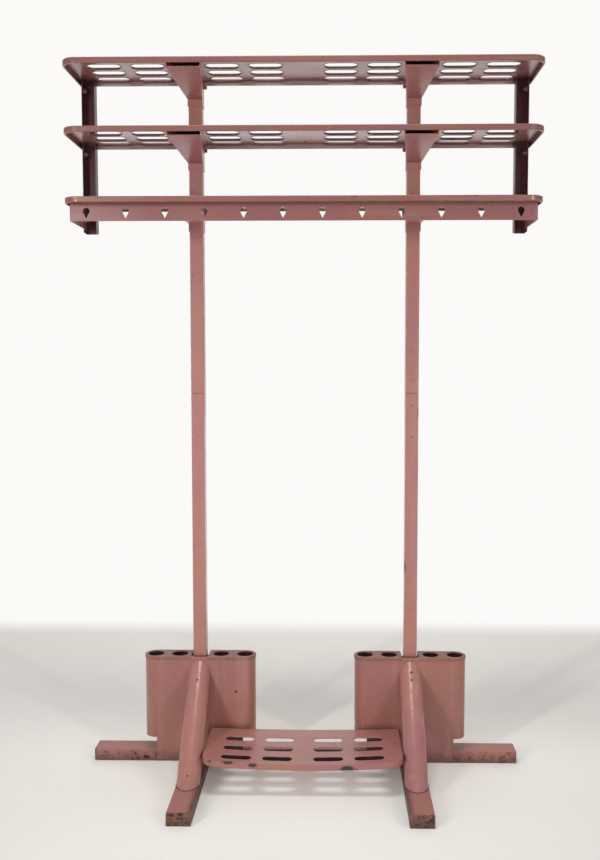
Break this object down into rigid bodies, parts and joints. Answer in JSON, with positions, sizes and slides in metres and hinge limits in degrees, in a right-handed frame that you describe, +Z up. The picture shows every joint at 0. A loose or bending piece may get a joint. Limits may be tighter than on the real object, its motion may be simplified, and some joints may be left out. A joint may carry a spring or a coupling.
{
  "type": "clothing rack",
  "caption": "Free-standing steel coat stand with slotted hat shelves, a hook rail, umbrella holders and a low boot rack.",
  "frame": {"origin": "on the floor, midway between the two posts, in the plane of the post centres", "axes": "+Z up, +X to the right when facing the stand, -Y towards the user, where the feet reach out"},
  "size_m": [1.248, 0.4455, 1.924],
  "materials": {
    "painted_steel": "satin",
    "fastener_steel": "satin"
  },
  "bodies": {
    "root": {"base_beam": "painted_steel", "beam_end_plates": "painted_steel", "boot_rack": "painted_steel", "boot_rack_bolts": "fastener_steel", "boot_rack_spacers": "painted_steel", "bracket_screws": "fastener_steel", "cover_bridges": "painted_steel", "foot_end_plates": "painted_steel", "hook_rail": "painted_steel", "left_brace": "painted_steel", "left_foot": "painted_steel", "left_holder_inner_cover": "painted_steel", "left_holder_outer_cover": "painted_steel", "left_holder_tray": "painted_steel", "left_lower_bracket": "painted_steel", "left_lower_post": "painted_steel", "left_middle_bracket": "painted_steel", "left_post_spigot": "painted_steel", "left_shelf_cleats": "painted_steel", "left_strap": "painted_steel", "left_strap_bolts": "fastener_steel", "left_strap_nuts": "fastener_steel", "left_strap_washers": "fastener_steel", "left_umbrella_holder": "painted_steel", "left_upper_bracket": "painted_steel", "left_upper_post": "painted_steel", "lower_shelf": "painted_steel", "lower_stop_bar": "painted_steel", "middle_shelf": "painted_steel", "middle_stop_bar": "painted_steel", "post_caps": "painted_steel", "right_brace": "painted_steel", "right_foot": "painted_steel", "right_holder_inner_cover": "painted_steel", "right_holder_outer_cover": "painted_steel", "right_holder_tray": "painted_steel", "right_lower_bracket": "painted_steel", "right_lower_post": "painted_steel", "right_middle_bracket": "painted_steel", "right_post_spigot": "painted_steel", "right_shelf_cleats": "painted_steel", "right_strap": "painted_steel", "right_strap_bolts": "fastener_steel", "right_strap_nuts": "fastener_steel", "right_strap_washers": "fastener_steel", "right_umbrella_holder": "painted_steel", "right_upper_bracket": "painted_steel", "right_upper_post": "painted_steel", "spigot_rivets": "fastener_steel", "tongue_screws": "fastener_steel", "upper_shelf": "painted_steel", "upper_stop_bar": "painted_steel"}
  },
  "joints": []
}
